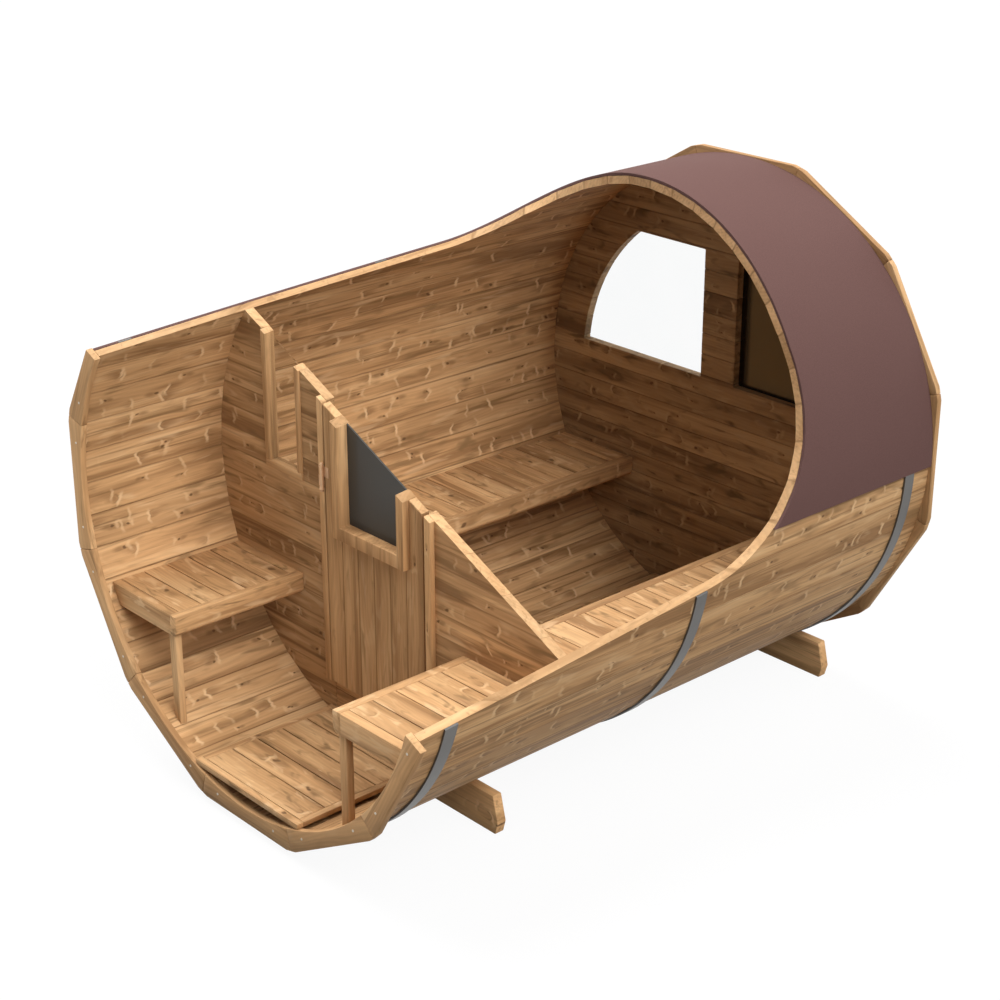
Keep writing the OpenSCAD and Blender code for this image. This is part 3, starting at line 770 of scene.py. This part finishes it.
screwSet = {"radius": 0.0046, "height": 0.0022, "sides": 16, "circle": 0.960, "corners": 12, "beside": 5.1,
            "frontY": -1.255, "backY": 1.255, "cutMargin": 0.012, "headFacing": -0.9,
            "insets": ((0.28, 0.2), (0.25, 0.0), (0.12, -0.6))}


def makeScrew():
    bpy.ops.object.select_all(action="DESELECT")
    bpy.ops.mesh.primitive_cylinder_add(vertices=screwSet["sides"], radius=screwSet["radius"],
                                        depth=screwSet["height"], rotation=(math.radians(90), 0, 0))
    screw = bpy.context.object
    bpy.ops.object.transform_apply(location=True, rotation=True, scale=True)
    bpy.ops.object.mode_set(mode="EDIT")
    bpy.ops.mesh.select_all(action="DESELECT")
    bpy.ops.mesh.select_mode(type="FACE")
    bpy.ops.object.mode_set(mode="OBJECT")
    for face in screw.data.polygons:
        face.select = face.normal.y < screwSet["headFacing"]
    bpy.ops.object.mode_set(mode="EDIT")
    for inset, depth in screwSet["insets"]:
        bpy.ops.mesh.inset(thickness=screwSet["radius"] * inset, depth=screwSet["height"] * depth)
    bpy.ops.object.mode_set(mode="OBJECT")
    return screw


def placeScrews(name, plane, facing):
    master = makeScrew()
    copies = []
    turn = 360 / screwSet["corners"]
    for corner in range(screwSet["corners"]):
        for side in (-1, 1):
            angle = math.radians(turn / 2 + turn * corner + side * screwSet["beside"])
            x = screwSet["circle"] * math.cos(angle)
            z = axisHeight + screwSet["circle"] * math.sin(angle)
            local = cutFrame @ Vector((x, plane, z - axisHeight))
            if facing < 0 and local.z > cutSet["level"] - screwSet["cutMargin"]:
                continue
            copy = bpy.data.objects.new(name + "One", master.data.copy())
            scene.collection.objects.link(copy)
            if facing > 0:
                copy.data.transform(Matrix.Rotation(math.pi, 4, "Z"))
            copy.data.transform(Matrix.Translation((x, plane, z)))
            copies.append(copy)
    bpy.data.objects.remove(master)
    screws = joinPieces(copies)
    screws.name = name
    screws.data.materials.append(screwZinc)
    pickOnly(screws)
    bpy.ops.object.shade_smooth_by_angle(angle=math.radians(meshSet["screwSmooth"]))
    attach(screws, "root")
    return len(copies)


count = placeScrews("frontRingScrews", screwSet["frontY"], -1)
count += placeScrews("backRingScrews", screwSet["backY"], 1)
print("screws placed:", count)


# steel, brass, felt and glass keep their solids

solidSet = {
    "band_front": steel, "band_middle": steel, "band_back": steel,
    "hinge_frame_side": brass, "hinge_door_side": brass, "roof_felt": felt,
    "back_pane_left": clearGlass, "partition_pane": clearGlass,
    "back_pane_right": bronzeGlass, "door_pane": greyGlass,
}
for node, material in solidSet.items():
    nodes[node].data.materials.clear()
    nodes[node].data.materials.append(material)
print("steel, felt and glass set")


# studio

studioSet = {"dome": 0.06, "white": 1.0, "floorBounce": 0.10, "floorGrey": 0.8, "floorShadow": 0.07,
             "floorSize": 80.0, "lampAway": 8.0, "soft": 45.0}
# direction round the barrel, height above the ground, both in degrees, and strength of each soft lamp
lampSet = {
    "leftHigh": (180, 60, 3.3), "rightHigh": (0, 60, 1.2), "rightMiddle": (0, 37, 2.15),
    "leftLow": (195, 8, 0.8), "frontLeft": (250, 10, 0.15), "frontRight": (315, 32, 0.2),
    "behind": (90, 12, 1.3),
}
# a panel flat on the ground before the porch that throws light up at the front ring
panelSet = {"place": (-0.5, -2.7, 0.03), "width": 2.6, "depth": 1.6, "power": 24.0}


def studioLamps():
    for name, (turn, rise, strength) in lampSet.items():
        around, up = math.radians(turn), math.radians(rise)
        toward = Vector((math.cos(up) * math.cos(around), math.cos(up) * math.sin(around), math.sin(up)))
        bpy.ops.object.light_add(type="SUN", location=toward * studioSet["lampAway"])
        lamp = bpy.context.object
        lamp.name = name
        lamp.rotation_euler = toward.to_track_quat("Z", "Y").to_euler()
        lamp.data.energy = strength
        lamp.data.angle = math.radians(studioSet["soft"])


def frontPanel():
    bpy.ops.object.light_add(type="AREA", location=panelSet["place"], rotation=(math.pi, 0, 0))
    panel = bpy.context.object
    panel.name = "frontPanel"
    panel.data.shape = "RECTANGLE"
    panel.data.size = panelSet["width"]
    panel.data.size_y = panelSet["depth"]
    panel.data.energy = panelSet["power"]
    panel.visible_camera = False
    panel.visible_glossy = False


def seenShare(desk):
    # 1 for what is seen directly, in a reflection or through glass
    path = desk.add("ShaderNodeLightPath")
    seen = desk.math("MAXIMUM", path.outputs["Is Camera Ray"], path.outputs["Is Glossy Ray"])
    return desk.math("MAXIMUM", seen, path.outputs["Is Transmission Ray"])


def mixShaders(desk, share, first, second):
    mixed = desk.add("ShaderNodeMixShader")
    desk.put(mixed.inputs[0], share)
    desk.tree.links.new(first.outputs[0], mixed.inputs[1])
    desk.tree.links.new(second.outputs[0], mixed.inputs[2])
    return mixed


def studioLight():
    world = bpy.data.worlds.new("softDome")
    scene.world = world
    world.use_nodes = True
    desk = NodeDesk(world.node_tree)
    skies = []
    for strength in (studioSet["dome"], studioSet["white"]):
        sky = desk.add("ShaderNodeBackground")
        sky.inputs["Color"].default_value = rgb(1.0, 1.0, 1.0)
        sky.inputs["Strength"].default_value = strength
        skies.append(sky)
    mixed = mixShaders(desk, seenShare(desk), *skies)
    out = desk.add("ShaderNodeOutputWorld")
    desk.tree.links.new(mixed.outputs[0], out.inputs["Surface"])


def studioFloor():
    bpy.ops.object.select_all(action="DESELECT")
    bpy.ops.mesh.primitive_plane_add(size=studioSet["floorSize"])
    ground = bpy.context.object
    ground.name = "studioFloor"
    material, desk = newMaterial("paleFloor")
    bounce = desk.add("ShaderNodeBsdfDiffuse")
    bounce.inputs["Color"].default_value = rgb(*[studioSet["floorBounce"]] * 3)
    shadowed = desk.add("ShaderNodeBsdfDiffuse")
    shadowed.inputs["Color"].default_value = rgb(*[studioSet["floorGrey"]] * 3)
    glow = desk.add("ShaderNodeEmission")
    glow.inputs["Strength"].default_value = studioSet["white"]
    pale = mixShaders(desk, studioSet["floorShadow"], glow, shadowed)
    finishMaterial(desk, mixShaders(desk, seenShare(desk), bounce, pale))
    ground.data.materials.append(material)


studioLamps()
frontPanel()
studioLight()
studioFloor()
print("studio set")
